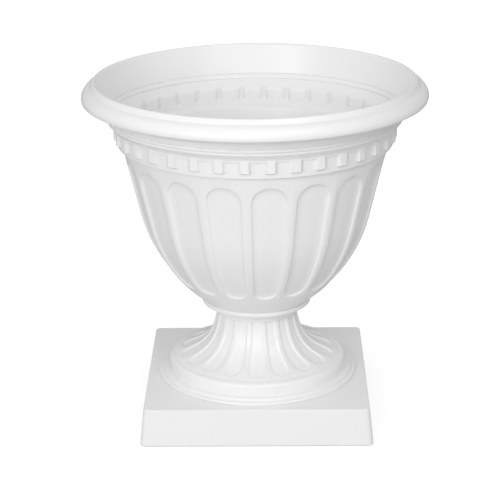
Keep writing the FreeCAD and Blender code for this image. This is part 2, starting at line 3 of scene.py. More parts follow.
import bmesh
import bpy
import mathutils
import numpy as np
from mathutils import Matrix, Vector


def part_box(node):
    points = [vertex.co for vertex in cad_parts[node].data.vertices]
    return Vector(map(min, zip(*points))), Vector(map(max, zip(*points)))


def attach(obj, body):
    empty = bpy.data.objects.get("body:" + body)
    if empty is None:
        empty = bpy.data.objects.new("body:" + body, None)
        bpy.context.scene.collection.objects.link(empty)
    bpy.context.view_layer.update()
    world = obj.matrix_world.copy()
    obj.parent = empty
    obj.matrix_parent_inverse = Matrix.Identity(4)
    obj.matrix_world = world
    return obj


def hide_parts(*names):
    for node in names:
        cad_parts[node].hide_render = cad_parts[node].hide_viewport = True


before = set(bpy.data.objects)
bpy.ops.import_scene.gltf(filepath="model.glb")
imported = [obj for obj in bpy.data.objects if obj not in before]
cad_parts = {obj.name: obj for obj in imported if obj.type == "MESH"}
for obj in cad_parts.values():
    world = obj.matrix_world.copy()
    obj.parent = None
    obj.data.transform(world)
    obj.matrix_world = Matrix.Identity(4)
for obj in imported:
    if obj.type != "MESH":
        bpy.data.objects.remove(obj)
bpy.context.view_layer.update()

# Pedestal
# One hollow injection moulding in white plastic: a square plinth, two thin rings and a round drum,
# and a flared stem with flutes whose round ends lie on the drum. Ribs stiffen the plinth from below.

MM = 0.001
WELD = 0.01 * MM
FULL_TURN = 2 * math.pi

PLINTH_FOOT_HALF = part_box("pedestal")[1][0]
SEAT_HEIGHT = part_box("pedestal")[1][2]
PLINTH_FLARE = 4.5 * MM
PLINTH_HALF = PLINTH_FOOT_HALF - PLINTH_FLARE
PLINTH_HEIGHT = 44 * MM
PLINTH_LEAN = PLINTH_FLARE / PLINTH_HEIGHT
PLINTH_CORNER = 6.5 * MM
PLINTH_EDGE = 1.4 * MM
PLINTH_MARGIN = 8 * MM
FOOT_OUTER_ROUNDING = 2.0 * MM
FOOT_INNER_ROUNDING = 0.6 * MM
WALL = 3 * MM
SIDE_STEPS = 36
CORNER_STEPS = 36
PEDESTAL_COLUMNS = 4 * (2 * SIDE_STEPS + CORNER_STEPS)

LOW_RING_RADIUS = 118.5 * MM
LOW_RING_TOP = 47.4 * MM
HIGH_RING_RADIUS = 113.3 * MM
HIGH_RING_TOP = 50.8 * MM
RING_ROUNDING = 1.7 * MM
CREASE_ROUNDING = 0.4 * MM
DRUM_RADIUS = 105.8 * MM
DRUM_INSIDE = DRUM_RADIUS - WALL
DRUM_TOP = 65.3 * MM
DRUM_ROUNDING = 5.2 * MM
VALLEY_RADIUS = 98.6 * MM
VALLEY_ROUNDING = 8 * MM
DISC_EDGE = (95.0 * MM, 66.7 * MM)
NECK_RADIUS = 47.4 * MM
STEM_FLARE = ((82.0 * MM, 71.2 * MM), (63.0 * MM, 83.0 * MM), (51.4 * MM, 102.9 * MM),
              (NECK_RADIUS, SEAT_HEIGHT))
STEM_FLUTES = 18
STEM_FLUTE_SHARE = 0.81
STEM_FLUTE_TIP = 92.5 * MM
STEM_TIP_LENGTH = 17 * MM
STEM_STEP_WIDTH = 2.4 * MM
STEM_STEP_DEPTH = 1.5 * MM
STEM_RUN_OUT_WIDTH = 1.8 * MM
STEM_RUN_OUT_DEPTH = 0.3 * MM
STEM_FLUTE_DEPTH = STEM_STEP_DEPTH + STEM_RUN_OUT_DEPTH
STEM_SIDE_STEPS = 24
WALL_STEPS = 4
FLOOR_STEPS = 3
TABLE_SIZE = 400
HOLLOW_STRIDE = 40
ARC_STEPS = 4
EDGE_STEPS = 2
EDGE_ROUNDING = 1.0 * MM

SOCKET_RADIUS = 43.2 * MM
WEB_TOP = SEAT_HEIGHT - 14 * MM
WEB_FOOT = WEB_TOP - 4 * MM
BOLT_HOLE = 4.5 * MM
DRAIN_COUNT = 3
DRAIN_CIRCLE = 30.26 * MM
WEB_DRAIN = 7 * MM
HOLE_ROUNDING = 0.5 * MM
HOLE_STEPS = 32
SPOKE_STEPS = 6
RIB_COUNT = 8
RIB_HALF_THICKNESS = 1.25 * MM
RIB_FOOT = 8 * MM


def around(radius, angle, height):
    """Points at a radius and an angle from the front about the upright axis, at a height."""
    radius, angle, height = np.broadcast_arrays(radius, angle, height)
    return np.stack((radius * np.sin(angle), -radius * np.cos(angle), height), axis=-1)


def even_angles(count, start=0.0):
    """Evenly spaced angles over one whole turn, without the last, which is the first again."""
    return start + np.arange(count) * FULL_TURN / count


def unit(vector):
    """A vector divided by its length."""
    return vector / np.linalg.norm(vector)


def rounded_line(corners, unit_size=1.0):
    """Straight runs through corners (radius, height, rounding), each corner turned into an arc.

    The arc touches both runs. Its points go from the first touching point to the second by turning
    the spoke from the arc's centre evenly. Small edges have fewer points than large roundings.
    """
    corners = np.array(corners, dtype=float) * unit_size
    points = [corners[:1, :2]]
    for before, here, after in zip(corners[:-2], corners[1:-1], corners[2:]):
        back = unit(before[:2] - here[:2])
        ahead = unit(after[:2] - here[:2])
        half = math.acos(np.clip(back @ ahead, -1, 1)) / 2
        centre = here[:2] + unit(back + ahead) * here[2] / math.sin(half)
        start = here[:2] + back * here[2] / math.tan(half) - centre
        end = here[:2] + ahead * here[2] / math.tan(half) - centre
        sweep = math.pi - 2 * half
        steps = EDGE_STEPS if here[2] < EDGE_ROUNDING else ARC_STEPS
        share = np.linspace(0, 1, steps + 1)[:, None]
        spokes = (np.sin((1 - share) * sweep) * start + np.sin(share * sweep) * end) / math.sin(sweep)
        points.append(centre + spokes)
    points.append(corners[-1:, :2])
    return np.concatenate(points)


def smooth_line(knots, count, unit_size=1.0):
    """Points on the natural cubic spline through the knots, spaced evenly along the chords.

    The spline's bends at the knots solve one band of linear equations.
    """
    knots = np.array(knots, dtype=float) * unit_size
    gaps = np.linalg.norm(np.diff(knots, axis=0), axis=1)
    places = np.concatenate(([0.0], np.cumsum(gaps)))
    inner = np.arange(1, len(knots) - 1)
    band = np.eye(len(knots))
    band[inner, inner - 1] = gaps[:-1]
    band[inner, inner] = 2 * (gaps[:-1] + gaps[1:])
    band[inner, inner + 1] = gaps[1:]
    change = np.zeros(knots.shape)
    change[1:-1] = 6 * np.diff(np.diff(knots, axis=0) / gaps[:, None], axis=0)
    bends = np.linalg.solve(band, change)
    where = np.linspace(0, places[-1], count)
    span = np.clip(np.searchsorted(places, where, side="right") - 1, 0, len(gaps) - 1)
    ahead = (places[span + 1] - where)[:, None]
    behind = (where - places[span])[:, None]
    gap = gaps[span][:, None]
    curved = (bends[span] * ahead ** 3 + bends[span + 1] * behind ** 3) / (6 * gap)
    straight = (knots[span] / gap - bends[span] * gap / 6) * ahead
    return curved + straight + (knots[span + 1] / gap - bends[span + 1] * gap / 6) * behind


class Profile:
    """A line of (radius, height) points that can be read at any distance along it."""

    def __init__(self, points):
        self.points = np.array(points)
        steps = np.linalg.norm(np.diff(self.points, axis=0), axis=1)
        self.places = np.concatenate(([0.0], np.cumsum(steps)))
        self.length = self.places[-1]
        slope = np.gradient(self.points, self.places, axis=0)
        square = np.stack((slope[:, 1], -slope[:, 0]), axis=1)
        self.outward = square / np.linalg.norm(slope, axis=1)[:, None]

    def radius(self, place):
        """Radius at a distance along the line."""
        return np.interp(place, self.places, self.points[:, 0])

    def at_height(self, height):
        """Distance along the line at which it passes a height."""
        return np.interp(height, self.points[:, 1], self.places)

    def surface(self, angle, place, depth):
        """Points of the line turned to an angle, sunk by a depth square to the surface."""
        across = np.interp(place, self.places, self.outward[:, 0])
        upward = np.interp(place, self.places, self.outward[:, 1])
        height = np.interp(place, self.places, self.points[:, 1])
        return around(self.radius(place) - depth * across, angle, height - depth * upward)


def turned(points, angles):
    """A grid: every point of a profile in one row, carried round by the angles in the columns."""
    points = np.array(points)
    return around(points[:, :1], angles[None, :], points[:, 1:2])


def spun(grid, count, start=0.0):
    """Copies of a grid, evenly turned about the upright axis."""
    copies = []
    for angle in even_angles(count, start):
        cosine, sine = math.cos(angle), math.sin(angle)
        turn = np.array(((cosine, sine, 0), (-sine, cosine, 0), (0, 0, 1)))
        copies.append(grid @ turn)
    return copies


def rounded_square(half, corner, height):
    """A loop about a square with round corners, from the middle of the front towards +X.

    A quarter of it is half a side, a quarter circle and half a side; the rest is the quarter turned on.
    """
    along = np.linspace(0, 1, SIDE_STEPS, endpoint=False) * (half - corner)
    turn = np.arange(CORNER_STEPS) / CORNER_STEPS * FULL_TURN / 4
    first = np.stack((along, np.full(along.shape, -half)), axis=1)
    bend = np.stack((np.sin(turn), -np.cos(turn)), axis=1) * corner + (half - corner) * np.array((1, -1))
    last = np.stack((np.full(along.shape, half), along - half + corner), axis=1)
    quarter = np.concatenate((first, bend, last))
    x, y = quarter[:, 0], quarter[:, 1]
    loop = np.concatenate((quarter, np.stack((-y, x), 1), -quarter, np.stack((y, -x), 1)))
    return np.concatenate((loop, np.full((len(loop), 1), height)), axis=1)


def wall_rows(step_width, step_depth, run_out_width, run_out_depth):
    """Offsets inside a flute's outline, and depths there, over a steep step and a hollow run-out.

    The step falls as half a cosine wave. The run-out goes on as a parabola that ends level with the floor.
    """
    share = np.linspace(0, 1, WALL_STEPS + 1)
    fall = (1 - np.cos(share * math.pi)) / 2
    hollow = (1 - (1 - share) ** 2)[1:]
    offsets = np.concatenate((share * step_width, step_width + share[1:] * run_out_width))
    return -offsets, np.concatenate((fall * step_depth, step_depth + hollow * run_out_depth))


def stem_flute_cell(stem):
    """One flute of the stem with half a rib on each side, as nested loops shaped like a U.

    Each loop runs down the left side, round the flute's end and up the right side. The outermost is the
    cell's own border; then come the soft wall, and the floor, which shrinks to the flute's middle line.
    """
    half_cell = FULL_TURN / STEM_FLUTES / 2
    half_flute = half_cell * STEM_FLUTE_SHARE
    end_columns = PEDESTAL_COLUMNS // STEM_FLUTES
    tip = np.interp(-STEM_FLUTE_TIP, -stem.points[:, 0], stem.places)
    end_centre = tip + STEM_TIP_LENGTH
    side = np.linspace(1, 0, STEM_SIDE_STEPS, endpoint=False)
    turn = math.pi + np.linspace(0, math.pi, end_columns + 1)

    def loop(offset, shrink):
        """Angles and places of the flute's outline, moved by an offset and shrunk to its middle line."""
        sides = end_centre + side * (stem.length - end_centre)
        ends = end_centre + (STEM_TIP_LENGTH + offset) * shrink * np.sin(turn)
        side_angle = (half_flute + offset / stem.radius(sides)) * shrink
        end_angle = (half_flute + offset / stem.radius(ends)) * shrink * np.cos(turn)
        angle = np.concatenate((-side_angle, end_angle, side_angle[::-1]))
        return angle, np.concatenate((sides, ends, sides[::-1]))

    edge = np.full(side.shape, half_cell)
    border = np.concatenate((-edge, np.linspace(-half_cell, half_cell, end_columns + 1), edge))
    border_place = np.concatenate((side, np.zeros(end_columns + 1), side[::-1])) * stem.length
    offsets, depths = wall_rows(STEM_STEP_WIDTH, STEM_STEP_DEPTH, STEM_RUN_OUT_WIDTH, STEM_RUN_OUT_DEPTH)
    rows = [stem.surface(border, border_place, 0.0)]
    rows += [stem.surface(*loop(offset, 1.0), depth) for offset, depth in zip(offsets, depths)]
    for shrink in np.linspace(1, 0, FLOOR_STEPS + 1)[1:]:
        rows.append(stem.surface(*loop(offsets[-1], shrink), STEM_FLUTE_DEPTH))
    return np.stack(rows)


def holed_plate(heights, radii, drain_radius, start, columns):
    """A round plate with a bolt hole and drain holes, as three like sectors and the bolt hole's wall.

    Heights and radii are those of its foot and its top. Each sector's border is joined to its drain hole
    by straight spokes from the hole's centre, below and above, and the two rims by the hole's wall.
    """
    foot, top = heights
    half = FULL_TURN / DRAIN_COUNT / 2
    outer = np.linspace(-half, half, columns // DRAIN_COUNT + 1)
    inner = np.linspace(half, -half, HOLE_STEPS + 1)
    spoke = np.linspace(1, 0, SPOKE_STEPS + 1)[1:-1]
    edge = np.full(spoke.shape, half)

    def border(radius, height):
        """A sector's border: along the outer edge, in along a side, back along the bolt hole and out."""
        sides = BOLT_HOLE + spoke * (radius - BOLT_HOLE)
        rim_radii = np.full(outer.shape, radius)
        bore_radii = np.full(inner.shape, BOLT_HOLE)
        angles = np.concatenate((outer, edge, inner, -edge))
        return around(np.concatenate((rim_radii, sides, bore_radii, sides[::-1])), angles, height)

    def rim(radius, height, outline):
        """The drain hole's rim, each point on the spoke to a point of the border."""
        centre = np.array((0, -DRAIN_CIRCLE, height))
        reach = (outline - centre) * np.array((1, 1, 0))
        return centre + reach / np.linalg.norm(reach, axis=1)[:, None] * radius

    low, high = border(radii[0], foot), border(radii[1], top)
    eased = drain_radius + HOLE_ROUNDING
    sector = np.stack((low, rim(eased, foot, low), rim(drain_radius, foot + HOLE_ROUNDING, low),
                       rim(drain_radius, top - HOLE_ROUNDING, high), rim(eased, top, high), high))
    bore_angles = np.concatenate([angle + inner[::-1][:-1] for angle in even_angles(DRAIN_COUNT, start)])
    bore = turned([(BOLT_HOLE, top), (BOLT_HOLE, foot)], bore_angles)
    return spun(sector, DRAIN_COUNT, start) + [bore]


def rib_plate(angle, start, foot_end, top_end):
    """A thin upright plate from near the axis out to the plinth's leaning wall, as a closed box."""
    across = np.array((-1, -1, 1, 1)) * RIB_HALF_THICKNESS
    loops = []
    for end, height in ((foot_end, RIB_FOOT), (top_end, PLINTH_HEIGHT - WALL + HOLE_ROUNDING)):
        along = np.array((start, end, end, start))
        loops.append(np.stack((across, -along, np.full(along.shape, height)), axis=1))
    foot, top = loops
    foot_middle, top_middle = (np.broadcast_to(loop.mean(axis=0), loop.shape) for loop in loops)
    return spun(np.stack((foot_middle, foot, top, top_middle)), 1, angle)[0]


class Wire:
    """One output of a shader node; sums and products of wires and numbers add Math nodes to its tree.

    A Mix node's sockets for colours share their names with others, so they are told by their places.
    """

    MIX_SHARE, MIX_FIRST, MIX_SECOND = 0, 6, 7
    MIXED_COLOUR = 2

    def __init__(self, tree, socket=None):
        self.tree = tree
        self.socket = socket

    def node(self, kind, output, settings, inputs):
        """A new node with its settings made first, then its sockets set or linked; returns one output."""
        made = self.tree.nodes.new(kind)
        for name, value in settings.items():
            setattr(made, name, value)
        for name, value in inputs.items():
            if isinstance(value, Wire):
                self.tree.links.new(value.socket, made.inputs[name])
            else:
                made.inputs[name].default_value = value
        return Wire(self.tree, made.outputs[output])

    def math(self, operation, first, second):
        """A Math node on two values."""
        return self.node("ShaderNodeMath", 0, {"operation": operation}, {0: first, 1: second})

    def noise(self, place, scale, detail):
        """Soft random values about a half, with features of one over the scale in metres."""
        return self.node("ShaderNodeTexNoise", 0, {}, {"Vector": place, "Scale": scale, "Detail": detail})

    def blend(self, share, first, second):
        """A colour between two colours."""
        colours = {self.MIX_SHARE: share, self.MIX_FIRST: (*first, 1), self.MIX_SECOND: (*second, 1)}
        return self.node("ShaderNodeMix", self.MIXED_COLOUR, {"data_type": "RGBA"}, colours)

    def feed(self, socket):
        """Links this output to a socket of a shader."""
        self.tree.links.new(self.socket, socket)

    def __add__(self, other):
        return self.math("ADD", self, other)

    def __mul__(self, other):
        return self.math("MULTIPLY", self, other)

    __radd__ = __add__
    __rmul__ = __mul__


NOISE_DETAIL = 3.0
CLOUD_SHARE = 0.7
GRAIN_STRENGTH = 0.5


def surface_material(name, colours, gloss, scales, grain_depth, constants):
    """A material with a clouded colour, an uneven gloss and a fine grain that catches the light.

    The scales are those of the clouds, of the flow marks and of the grain. Clouds and flow marks let the
    colour drift between two colours. The gloss gives a base roughness and what flow marks and grain add to
    it, and the grain is raised by its depth in metres.
    """
    material = bpy.data.materials.new(name)
    material.use_nodes = True
    shader = material.node_tree.nodes["Principled BSDF"]
    for socket, value in constants.items():
        shader.inputs[socket].default_value = value
    wire = Wire(material.node_tree)
    place = wire.node("ShaderNodeTexCoord", "Object", {}, {})
    cloud, flow, grain = (wire.noise(place, scale, NOISE_DETAIL) for scale in scales)
    drift = CLOUD_SHARE * cloud + (1 - CLOUD_SHARE) * flow
    wire.blend(drift, *colours).feed(shader.inputs["Base Color"])
    base, flow_share, grain_share = gloss
    (base + flow_share * flow + grain_share * grain).feed(shader.inputs["Roughness"])
    relief = {"Strength": GRAIN_STRENGTH, "Distance": grain_depth, "Height": grain}
    wire.node("ShaderNodeBump", 0, {}, relief).feed(shader.inputs["Normal"])
    return material


def finished_piece(name, grids, material, body, node):
    """One skin from grids of points: neighbours make four-sided faces, and grids that meet are welded.

    A grid comes with True where its last column joins its first. The skin rides on its body and stands
    for the node of the same piece.
    """
    places, faces, count = [], [], 0
    for grid, closed in grids:
        rows, columns = grid.shape[:2]
        index = count + np.arange(rows * columns).reshape(rows, columns)
        if closed:
            index = np.concatenate((index, index[:, :1]), axis=1)
        quads = np.stack((index[:-1, :-1], index[:-1, 1:], index[1:, 1:], index[1:, :-1]), axis=-1)
        places.append(grid.reshape(-1, 3))
        faces.append(quads.reshape(-1, 4))
        count += rows * columns
    mesh = bpy.data.meshes.new(name)
    mesh.from_pydata(np.concatenate(places).tolist(), [], np.concatenate(faces).tolist())
    skin = bmesh.new()
    skin.from_mesh(mesh)
    bmesh.ops.remove_doubles(skin, verts=skin.verts, dist=WELD)
    bmesh.ops.recalc_face_normals(skin, faces=skin.faces)
    skin.to_mesh(mesh)
    skin.free()
    mesh.polygons.foreach_set("use_smooth", np.ones(len(mesh.polygons), dtype=bool))
    mesh.materials.append(material)
    piece = bpy.data.objects.new(name, mesh)
    bpy.context.scene.collection.objects.link(piece)
    piece.modifiers.new("even_shading", "WEIGHTED_NORMAL")
    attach(piece, body)
    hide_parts(node)


def stem_sheets(stem, angles):
    """The stem's fluted outside, the rim about its top and the wall of its socket."""
    cell = stem_flute_cell(stem)
    sheets = [(copy, False) for copy in spun(cell, STEM_FLUTES)]
    edge = np.concatenate((cell[:-1, 0], cell[::-1, -1][:-1]))
    half_cell = FULL_TURN / STEM_FLUTES / 2
    rim_angles = np.linspace(-half_cell, half_cell, len(edge), endpoint=False)
    rim = around(SOCKET_RADIUS, rim_angles, SEAT_HEIGHT)
    sheets.append((np.concatenate(spun(np.stack((edge, rim)), STEM_FLUTES), axis=1), True))
    sheets.append((turned(((SOCKET_RADIUS, WEB_TOP), (SOCKET_RADIUS, SEAT_HEIGHT)), angles), True))
    return sheets


def foot_sheet(angles):
    """The two rings and the drum: a stepped profile with eased edges, carried round the axis."""
    profile = rounded_line(((LOW_RING_RADIUS, PLINTH_HEIGHT, 0),
                            (LOW_RING_RADIUS, LOW_RING_TOP, RING_ROUNDING),
                            (HIGH_RING_RADIUS, LOW_RING_TOP, CREASE_ROUNDING),
                            (HIGH_RING_RADIUS, HIGH_RING_TOP, RING_ROUNDING),
                            (DRUM_RADIUS, HIGH_RING_TOP, CREASE_ROUNDING),
                            (DRUM_RADIUS, DRUM_TOP, DRUM_ROUNDING),
                            (VALLEY_RADIUS, DRUM_TOP, VALLEY_ROUNDING), (*DISC_EDGE, 0)))
    return turned(profile, angles), True


def plinth_sheet(angles):
    """The plinth as loops from the lower ring over its top, down its wall and up inside to the drum.

    The loops are squares, and their corners shrink by as much as they lie inside the leaning wall. The
    first and the last are circles.
    """
    top_edge = PLINTH_HALF - PLINTH_MARGIN
    profile = rounded_line(((top_edge, PLINTH_HEIGHT, 0), (PLINTH_HALF, PLINTH_HEIGHT, PLINTH_EDGE),
                            (PLINTH_FOOT_HALF, 0, FOOT_OUTER_ROUNDING),
                            (PLINTH_FOOT_HALF - WALL, 0, FOOT_INNER_ROUNDING),
                            (PLINTH_HALF - WALL, PLINTH_HEIGHT - WALL, RING_ROUNDING),
                            (top_edge, PLINTH_HEIGHT - WALL, 0)))
    loops = [around(LOW_RING_RADIUS, angles, PLINTH_HEIGHT)]
    for half, height in profile:
        inset = PLINTH_FOOT_HALF - PLINTH_LEAN * height - half
        loops.append(rounded_square(half, max(PLINTH_CORNER - inset, PLINTH_EDGE), height))
    loops.append(around(DRUM_INSIDE, angles, PLINTH_HEIGHT - WALL))
    return np.stack(loops), True


def hollow_sheets(stem, angles):
    """The inside of drum and stem, which is the stem's line sunk by flute and wall, and the holed web."""
    inside = stem.points - (STEM_FLUTE_DEPTH + WALL) * stem.outward
    web_edge = np.interp(WEB_FOOT, inside[:, 1], inside[:, 0])
    inside = inside[inside[:, 1] < WEB_FOOT - WALL][::HOLLOW_STRIDE]
    drum = ((DRUM_INSIDE, PLINTH_HEIGHT - WALL), (DRUM_INSIDE, DRUM_TOP - WALL))
    hollow = turned(np.concatenate((drum, inside, ((web_edge, WEB_FOOT),))), angles)
    web = holed_plate((WEB_FOOT, WEB_TOP), (web_edge, SOCKET_RADIUS), WEB_DRAIN, 0.0, PEDESTAL_COLUMNS)
    return [(sheet, True) for sheet in [hollow] + web]


def rib_sheets():
    """The ribs under the plinth's top, by turns to the middle of a wall and, longer, to a corner."""
    foot_wall = PLINTH_FOOT_HALF - PLINTH_LEAN * RIB_FOOT - WALL / 2
    top_wall = PLINTH_HALF + PLINTH_LEAN * WALL - WALL / 2
    to_corner = math.sqrt(2) * (PLINTH_HALF - PLINTH_CORNER) + PLINTH_CORNER - PLINTH_HALF
    sheets = []
    for index, angle in enumerate(even_angles(RIB_COUNT)):
        longer = to_corner if index % 2 else 0.0
        sheets.append((rib_plate(angle, DRUM_INSIDE - WALL, foot_wall + longer, top_wall + longer), True))
    return sheets


def pedestal_grids():
    """All the sheets of the pedestal's skin, from the stem down the outside and up the inside."""
    angles = even_angles(PEDESTAL_COLUMNS)
    stem = Profile(np.concatenate((np.array([DISC_EDGE]), smooth_line(STEM_FLARE, TABLE_SIZE))))
    outside = stem_sheets(stem, angles) + [foot_sheet(angles), plinth_sheet(angles)]
    return outside + hollow_sheets(stem, angles) + rib_sheets()


PLASTIC_COLOURS = ((0.872, 0.874, 0.876), (0.904, 0.905, 0.905))
PLASTIC_GLOSS = (0.24, 0.06, 0.05)
PLASTIC_SCALES = (9.0, 55.0, 1300.0)
PLASTIC_GRAIN_DEPTH = 0.02 * MM
PLASTIC_IOR = 1.46

white_plastic = surface_material("white_satin_plastic", PLASTIC_COLOURS, PLASTIC_GLOSS, PLASTIC_SCALES,
                                 PLASTIC_GRAIN_DEPTH, {"IOR": PLASTIC_IOR})
finished_piece("pedestal_moulding", pedestal_grids(), white_plastic,
               "pedestal", "pedestal")

# Tie bolt and its washer
# A zinc-plated hexagon bolt with a rolled thread, put up through the pedestal's web from below, with a
# stamped steel washer between its head and the web. It holds pedestal and bowl together.

BOLT_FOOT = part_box("tie_bolt")[0][2]
BOLT_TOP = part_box("tie_bolt")[1][2]
BOLT_RADIUS = 3.9 * MM
THREAD_DEPTH = 0.65 * MM
THREAD_PITCH = 1.25 * MM
THREAD_ROWS = 8
THREAD_SHARPNESS = 1.4
THREAD_RUN_OUT = 2.5 * MM
BOLT_COLUMNS = 48
BOLT_CHAMFER = 1.0 * MM
HEAD_TOP = BOLT_FOOT + 5.3 * MM
HEAD_HALF = 6.5 * MM
HEAD_SIDES = 6
HEAD_CHAMFER_RADIUS = 6.1 * MM
HEAD_CHAMFER_SLOPE = math.tan(math.radians(60))
HEAD_ROWS = 10
HEAD_EDGE = 0.2 * MM
WASHER_EDGE = 0.45 * MM
WASHER_BURR = 0.12 * MM
WASHER_COLUMNS = 96
ZINC_COLOURS = ((0.58, 0.60, 0.63), (0.72, 0.73, 0.73))
ZINC_GLOSS = (0.24, 0.14, 0.12)
ZINC_SCALES = (90.0, 420.0, 2600.0)
ZINC_GRAIN_DEPTH = 0.008 * MM


def hexagon_radius(angle):
    """Distance from the axis to a hexagon's side at an angle, with corners to the left and the right."""
    sector = FULL_TURN / HEAD_SIDES
    off_middle = np.mod(angle + sector / 2, sector) - sector / 2
    return HEAD_HALF / np.cos(off_middle)


def bolt_grid():
    """The whole bolt as one sheet from the middle of its head to the middle of its tip.

    The head is a hexagon cut by a cone. On the shank the radius falls from the ridge to the root by how
    far a point lies from the helix that climbs one pitch a turn; a cone cuts the tip.
    """
    angles = even_angles(BOLT_COLUMNS)
    sides = hexagon_radius(angles)
    head = np.linspace(BOLT_FOOT, HEAD_TOP - HEAD_EDGE, HEAD_ROWS)[:, None]
    cone = HEAD_CHAMFER_RADIUS + (head - BOLT_FOOT) * HEAD_CHAMFER_SLOPE
    head_radius = np.minimum(sides[None, :], cone)
    count = round((BOLT_TOP - HEAD_TOP) / THREAD_PITCH * THREAD_ROWS)
    shank = np.linspace(HEAD_TOP, BOLT_TOP, count)[:, None]
    turn = np.mod(shank / THREAD_PITCH - angles[None, :] / FULL_TURN, 1)
    sunk = np.clip(THREAD_SHARPNESS * abs(2 * turn - 1), 0, 1)
    run_out = np.clip((shank - HEAD_TOP) / THREAD_RUN_OUT, 0, 1)
    tip = BOLT_RADIUS - BOLT_CHAMFER + BOLT_TOP - shank
    shank_radius = np.minimum(BOLT_RADIUS - THREAD_DEPTH * sunk * run_out, tip)
    rows = [around(0.0, angles, BOLT_FOOT)[None], around(head_radius, angles[None, :], head),
            around(sides - HEAD_EDGE, angles, HEAD_TOP)[None],
            around(shank_radius, angles[None, :], shank), around(0.0, angles, BOLT_TOP)[None]]
    return np.concatenate(rows)


def washer_grid(node, hole, edge, burr):
    """A flat ring as large as its node: a rectangle with eased corners, carried round the axis."""
    low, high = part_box(node)
    middle = (low[2] + high[2]) / 2
    section = rounded_line(((hole, middle, 0), (hole, low[2], burr), (high[0], low[2], burr),
                            (high[0], high[2], edge), (hole, high[2], edge), (hole, middle, 0)))
    return turned(section, even_angles(WASHER_COLUMNS))


zinc_steel = surface_material("bright_zinc_plating", ZINC_COLOURS, ZINC_GLOSS, ZINC_SCALES,
                              ZINC_GRAIN_DEPTH, {"Metallic": 1.0})
finished_piece("tie_bolt_threaded", [(bolt_grid(), True)], zinc_steel, "pedestal", "tie_bolt")
finished_piece("bolt_washer_stamped",
               [(washer_grid("bolt_washer", BOLT_HOLE, WASHER_EDGE, WASHER_BURR), True)],
               zinc_steel, "pedestal", "bolt_washer")

# Bowl
# One injection moulding in the same plastic: a round shell with long flutes, a frieze of small square
# blocks and a rolled rim. A spigot under its floor sits in the pedestal's socket.

BOWL_TURN = math.radians(6.5)
FLUTES = 18
DENTILS = 36
DENTIL_COLUMNS = 10
BOWL_COLUMNS = DENTILS * DENTIL_COLUMNS
BELLY_FOOT = (62.4 * MM, 137.2 * MM)
BELLY_TANGENT = (135.5 * MM, 245.0 * MM)
BELLY_TOP = (154.8 * MM, 327.0 * MM)
BELLY_FOOT_ROWS = 8
CELL_FOOT = 152 * MM
CELL_TOP = 325.4 * MM
LAND_ROWS = 4
FLUTE_SHARE = 0.805
LAND_SAG = 0.7 * MM
FLUTE_STEP_WIDTH = 2.2 * MM
FLUTE_STEP_DEPTH = 2.1 * MM
FLUTE_RUN_OUT_WIDTH = 7.5 * MM
FLUTE_RUN_OUT_DEPTH = 1.1 * MM
FLUTE_DEPTH = LAND_SAG + FLUTE_STEP_DEPTH + FLUTE_RUN_OUT_DEPTH
FLUTE_FOOT = (164 * MM, 174 * MM)
FLUTE_TOP = (295 * MM, 315 * MM)
FLUTE_SIDE_STEPS = 32
SHELL_DEPTH = 5.2 * MM
INSIDE_ROWS = 24
FLOOR_TOP = 125 * MM
FLOOR_EDGE = 47 * MM
BOWL_DRAIN = 5 * MM
DENTIL_FACE = 164.3 * MM
POCKET_FLOOR = 161.3 * MM
LIP_ROWS = 12

# Profiles in millimetres: radius, height and rounding or, in the rows of the two friezes, the share to
# which a row is raised where a block stands.
FOOT_CORNERS = ((38.8, 121, 0), (38.8, 109, 0.6), (42.8, 109, 0.8), (42.8, 121, 0.3), (50.5, 121, 0.6),
                (50.5, 130.4, 5), (64.4, 131.2, 2.2), (64.2, 135.6, 1.8), (62.4, 137.2, 0))
LEDGE_CORNERS = ((154.42, 325.4, 0), (155.05, 328.2, 0.5), (160, 328.7, 0.6), (160.25, 331, 0))
PANEL_ROWS = ((160.25, 331, 0), (160.55, 333.6, 0), (160.66, 334.55, 0.04), (160.73, 335.15, 0.96),
              (160.8, 335.75, 1), (161.1, 338.5, 1), (161.5, 342.5, 1), (161.8, 346.8, 1), (162, 347.4, 1),
              (163.1, 347.6, 1), (163.3, 348, 1), (163.35, 350.6, 1), (163.5, 351, 1), (164.3, 351.2, 1))
SLOPE_CORNERS = ((164.3, 351.2, 0), (165.7, 351.35, 0.2), (166, 352.4, 0.4), (171.1, 357.9, 0.6),
                 (169.8, 359.4, 0.5), (171.9, 360.8, 0.6), (172.5, 362.4, 0.6), (170.9, 363.9, 0.5),
                 (173.2, 365.4, 0.6), (174.1, 371.4, 5), (178.6, 375.8, 0.8), (182.4, 393.4, 1.5),
                 (195.4, 394.2, 8), (196.8, 381.6, 0.7), (198.4, 380.1, 0.6), (199.3, 381.2, 0))
LIP_KNOTS = ((199.3, 381.2), (200, 383.7), (197.7, 391), (194.2, 394.9), (190.4, 396.6))
CREST_CORNERS = ((190.4, 396.6, 0), (189.8, 397, 0.6), (184.6, 406.1, 2.4), (182.1, 398.6, 0))
INSIDE_CORNERS = ((182.1, 398.6, 0), (171.5, 367.9, 0.5), (172.3, 366.2, 0.5), (169.8, 364.3, 0.7),
                  (168.8, 362.1, 0.5), (169.9, 360.4, 0.5), (167.3, 358.6, 0.7), (161.6, 352.9, 0))
POCKET_ROWS = ((161.6, 352.9, 1), (160.9, 352.2, 1), (160.1, 351.2, 1), (159.6, 350.2, 1),
               (159.3, 348.4, 1), (158.9, 345.5, 1), (158.4, 341.5, 1), (158.1, 339.2, 1),
               (158, 338.6, 0.96), (157.9, 337.9, 0.04), (157.8, 337, 0), (157.5, 334, 0))
SILL_CORNERS = ((157.5, 334, 0), (157.35, 332.6, 0.6), (150.2, 329.2, 1.5), (149.3, 326.4, 0))
WELL_CORNERS = ((59.1, 141.2, 0), (49, 125, 4), (47, 125, 0))

